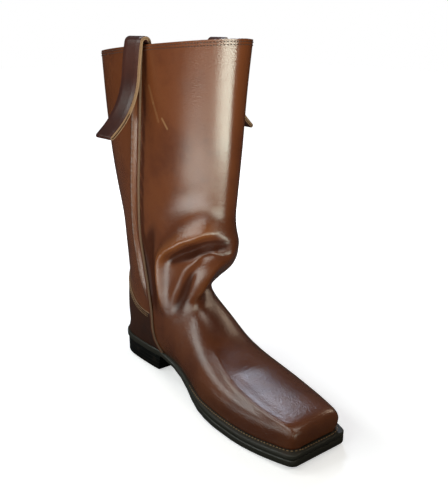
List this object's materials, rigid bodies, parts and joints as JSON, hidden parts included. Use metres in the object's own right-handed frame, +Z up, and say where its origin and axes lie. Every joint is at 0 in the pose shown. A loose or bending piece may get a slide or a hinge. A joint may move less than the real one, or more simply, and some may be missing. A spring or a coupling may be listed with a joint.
{
  "type": "cavalry boot",
  "caption": "Tall pull-on leather riding boot with a square toe, a wide leg that sags in a fold over the instep, raised side seams, pull straps and a low stacked heel.",
  "frame": {"origin": "middle of the bottom of the boot's bounding box, on the floor", "axes": "+Z up along the leg, -Y towards the toe, -X towards the inner (medial) side of the foot"},
  "size_m": [0.1826, 0.357, 0.3619],
  "materials": {
    "sole": "blacked edge, satin",
    "lining": "undyed, matt",
    "upper": "smooth, polished brown",
    "seam": "cut edge, satin",
    "strap": "polished face with a tan cut edge"
  },
  "bodies": {
    "root": {"outsole": "sole", "welt": "sole", "heel": "sole", "insole": "lining", "upper": "upper", "counter": "upper", "side_seam_medial": "seam", "side_seam_lateral": "seam", "pull_strap_medial": "strap", "pull_strap_lateral": "strap"}
  },
  "joints": []
}
